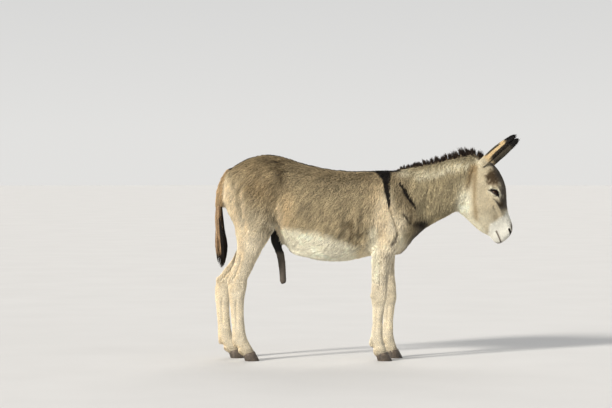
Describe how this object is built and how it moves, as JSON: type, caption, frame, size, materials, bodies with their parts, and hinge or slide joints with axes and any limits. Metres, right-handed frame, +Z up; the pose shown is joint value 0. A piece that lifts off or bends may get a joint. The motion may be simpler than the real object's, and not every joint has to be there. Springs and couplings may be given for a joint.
{
  "type": "donkey",
  "caption": "Life-size still model of a grey-dun wild donkey, a jack standing square with its head low, ears forward, upright mane and hanging tail.",
  "frame": {"origin": "on the floor, under the middle of the animal's length", "axes": "+X from tail to head, +Y to the animal's left, +Z up"},
  "size_m": [1.8675, 0.4576, 1.3712],
  "materials": {
    "coat": "short dense hair, grey-dun above and cream below",
    "dark_hair": "coarse long hair, dark brown to black",
    "bare_skin": "soft wrinkled dark skin",
    "horn": "dull dark horn with growth rings",
    "eye": "wet, dark brown"
  },
  "bodies": {
    "root": {"rump": "coat", "barrel": "coat", "shoulders": "coat", "neck": "coat", "head": "coat", "ear_right": "coat", "ear_left": "coat", "eye_right": "eye", "eye_left": "eye", "mane": "dark_hair", "tail_dock": "coat", "tail_switch": "dark_hair", "sheath": "bare_skin", "fore_right_forearm": "coat", "fore_right_cannon": "coat", "fore_right_pastern": "coat", "hoof_fore_right": "horn", "fore_left_forearm": "coat", "fore_left_cannon": "coat", "fore_left_pastern": "coat", "hoof_fore_left": "horn", "hind_right_gaskin": "coat", "hind_right_cannon": "coat", "hind_right_pastern": "coat", "hoof_hind_right": "horn", "hind_left_gaskin": "coat", "hind_left_cannon": "coat", "hind_left_pastern": "coat", "hoof_hind_left": "horn"}
  },
  "joints": []
}
